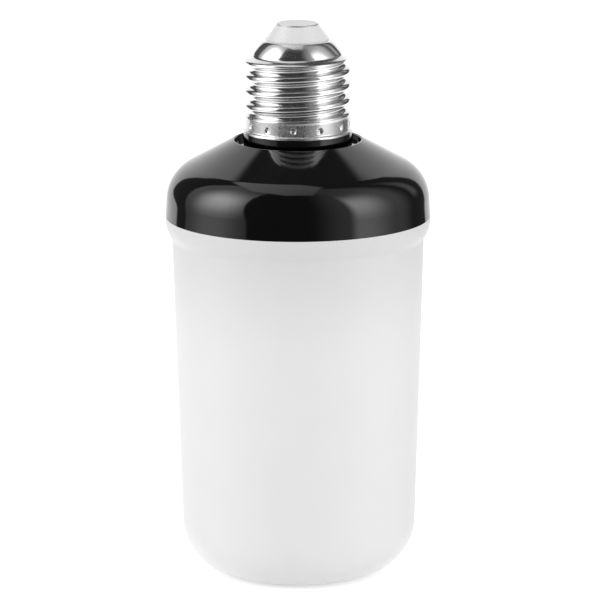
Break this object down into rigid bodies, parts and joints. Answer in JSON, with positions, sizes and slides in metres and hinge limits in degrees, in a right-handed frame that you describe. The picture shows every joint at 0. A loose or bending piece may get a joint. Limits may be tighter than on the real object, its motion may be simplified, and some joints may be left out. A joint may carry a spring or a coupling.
{
  "type": "flame effect led bulb",
  "caption": "Lamp with a rolled screw cap, black cone shoulder and a long milky diffuser cup round a column of light emitters.",
  "frame": {"origin": "centre of the diffuser's flat end, on which the lamp stands", "axes": "+Z along the lamp's axis from the flat end to the cap's contact, -Y to the side that the picture shows"},
  "size_m": [0.0649, 0.0648, 0.1366],
  "materials": {
    "milky_diffuser": "satin milky moulded plastic",
    "black_housing": "gloss black moulded plastic",
    "nickel_cap": "bright nickel plate on rolled sheet",
    "white_insulator": "white moulded insulator",
    "nickel_contact": "plain plated contact",
    "white_core": "white moulded plastic",
    "steel_screws": "zinc plated",
    "flex_board": "white solder mask on flexible film",
    "rigid_board": "green solder mask",
    "led_packages": "yellow phosphor in white frame",
    "chip_resin": "black moulding resin",
    "capacitor_sleeve": "shrunk sleeve",
    "ferrite": "dark ferrite",
    "copper_winding": "enamelled copper wire",
    "resistor_coat": "flameproof coat",
    "red_lead": "insulated wire",
    "black_lead": "insulated wire",
    "yellow_lead": "insulated wire"
  },
  "bodies": {
    "root": {"diffuser": "milky_diffuser", "shoulder_housing": "black_housing", "screw_shell": "nickel_cap", "cap_insulator": "white_insulator", "centre_contact": "nickel_contact", "core_base": "white_core", "core_screws": "steel_screws", "led_former": "white_core", "led_flex_board": "flex_board", "end_board": "rigid_board", "end_leds": "led_packages", "driver_board": "rigid_board", "bridge_rectifier": "chip_resin", "driver_chip": "chip_resin", "controller_chip": "chip_resin", "input_capacitor": "capacitor_sleeve", "output_capacitor": "capacitor_sleeve", "inductor_core": "ferrite", "inductor_winding": "copper_winding", "fusible_resistor": "resistor_coat", "live_lead": "red_lead", "neutral_lead": "black_lead", "positive_lead": "red_lead", "negative_lead": "black_lead", "data_lead": "yellow_lead", "led_row_1": "led_packages", "led_row_2": "led_packages", "led_row_3": "led_packages", "led_row_4": "led_packages", "led_row_5": "led_packages", "led_row_6": "led_packages", "led_row_7": "led_packages", "led_row_8": "led_packages", "led_row_9": "led_packages"}
  },
  "joints": []
}
